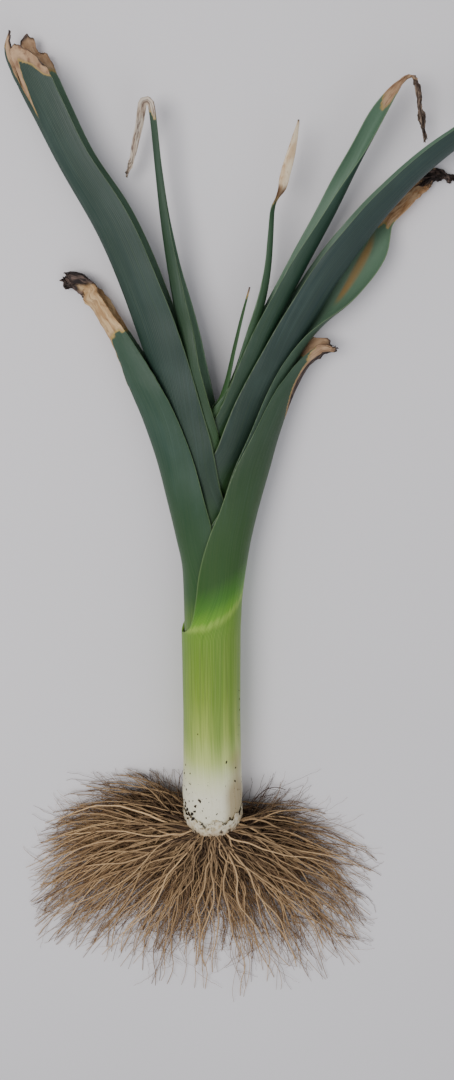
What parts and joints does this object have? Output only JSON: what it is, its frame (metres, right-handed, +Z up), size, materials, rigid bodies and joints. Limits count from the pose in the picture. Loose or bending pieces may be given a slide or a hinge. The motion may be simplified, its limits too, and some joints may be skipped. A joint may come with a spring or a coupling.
{
  "type": "leek plant",
  "caption": "Leek with folded fan leaves in two ranks, dried leaf tips, a white shaft and a spread mop of thin roots, lying on its side.",
  "frame": {"origin": "on the surface, at the small flat spot under the bulb's widest place, where the leek rests", "axes": "+Y along the shaft from the roots to the leaf tips, +X to the right of the leaf fan seen from above, +Z up from the surface"},
  "size_m": [0.3995, 0.871, 0.0513],
  "materials": {
    "root": "matte",
    "leaf": "satin"
  },
  "bodies": {
    "root": {"roots": "root", "leaf_right_outer": "leaf", "leaf_left_outer": "leaf", "leaf_right_second": "leaf", "leaf_left_second": "leaf", "leaf_right_third": "leaf", "leaf_left_inner": "leaf", "leaf_right_fourth": "leaf", "leaf_heart_dry_tip": "leaf", "heart_spear": "leaf"}
  },
  "joints": []
}
